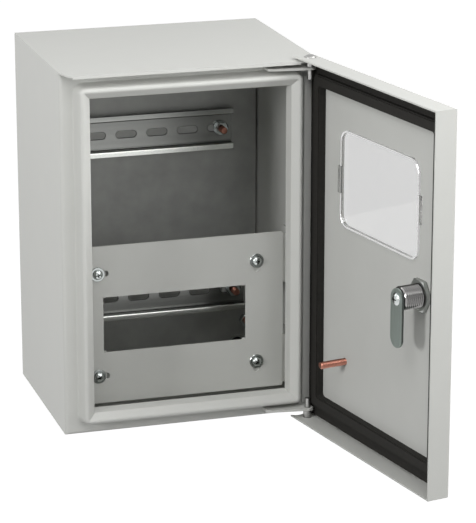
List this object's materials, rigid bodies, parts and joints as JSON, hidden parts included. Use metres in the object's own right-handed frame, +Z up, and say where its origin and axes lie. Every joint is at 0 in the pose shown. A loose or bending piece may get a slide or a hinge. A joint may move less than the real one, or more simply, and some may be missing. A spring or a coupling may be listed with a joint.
{
  "type": "wall mounted enclosure",
  "caption": "Light grey sheet-steel wall enclosure with rain visor, gutter rim, gasketed hinged door with window and cam lock, false panel and rails.",
  "frame": {"origin": "middle of the four wall-fixing holes, on the back face", "axes": "+X to the right seen from the front, +Y into the wall, +Z up"},
  "size_m": [0.2497, 0.3741, 0.3088],
  "materials": {
    "enclosure_paint": "light grey textured powder coat",
    "door_paint": "light grey textured powder coat",
    "panel_paint": "light grey textured powder coat",
    "bracket_paint": "light grey powder coat",
    "zinc_plate": "galvanised sheet",
    "rail_zinc": "zinc-plated",
    "cam_zinc": "zinc-plated, slightly blue",
    "bright_steel": "bright zinc-plated",
    "hinge_steel": "zinc-plated pin steel",
    "copper_plated": "copper-plated weld stud",
    "lock_chrome": "chrome-plated die casting",
    "lock_nut_metal": "zinc-plated",
    "gasket_foam": "black foam rubber",
    "grommet_rubber": "black rubber",
    "clear_window": "clear polycarbonate"
  },
  "bodies": {
    "enclosure": {"body_shell": "enclosure_paint", "roof_plate": "enclosure_paint", "back_wall": "enclosure_paint", "mounting_plate": "zinc_plate", "plate_studs": "copper_plated", "plate_nuts": "bright_steel", "upper_din_rail": "rail_zinc", "lower_din_rail": "rail_zinc", "rail_feet": "zinc_plate", "rail_studs": "copper_plated", "rail_washers": "bright_steel", "rail_nuts": "bright_steel", "false_panel": "panel_paint", "panel_brackets_left": "bracket_paint", "panel_brackets_right": "bracket_paint", "panel_screws": "bright_steel", "panel_washers": "bright_steel", "hinge_bracket_top": "bracket_paint", "hinge_bracket_bottom": "bracket_paint", "body_earth_stud": "copper_plated", "body_earth_nut": "bright_steel", "cable_grommets": "grommet_rubber"},
    "door": {"door_pan": "door_paint", "door_gasket": "gasket_foam", "window_pane": "clear_window", "hinge_pin_top": "hinge_steel", "hinge_pin_bottom": "hinge_steel", "hinge_bushes": "hinge_steel", "lock_barrel": "lock_chrome", "lock_nut": "lock_nut_metal", "door_earth_stud": "copper_plated"},
    "lock_cam_body": {"lock_plug": "lock_chrome", "lock_cam": "cam_zinc", "cam_screw": "bright_steel"}
  },
  "joints": [
    {"name": "door_swing", "type": "hinge", "parent": "enclosure", "child": "door", "pos_m": [0.0972, -0.1715, 0], "axis": [0, 0, 1], "range_deg": [-101, 1]},
    {"name": "lock_turn", "type": "hinge", "parent": "door", "child": "lock_cam_body", "pos_m": [0.128, -0.32993, -0.002], "axis": [-0.9816, -0.1908, 0], "range_deg": [0, 90]}
  ]
}
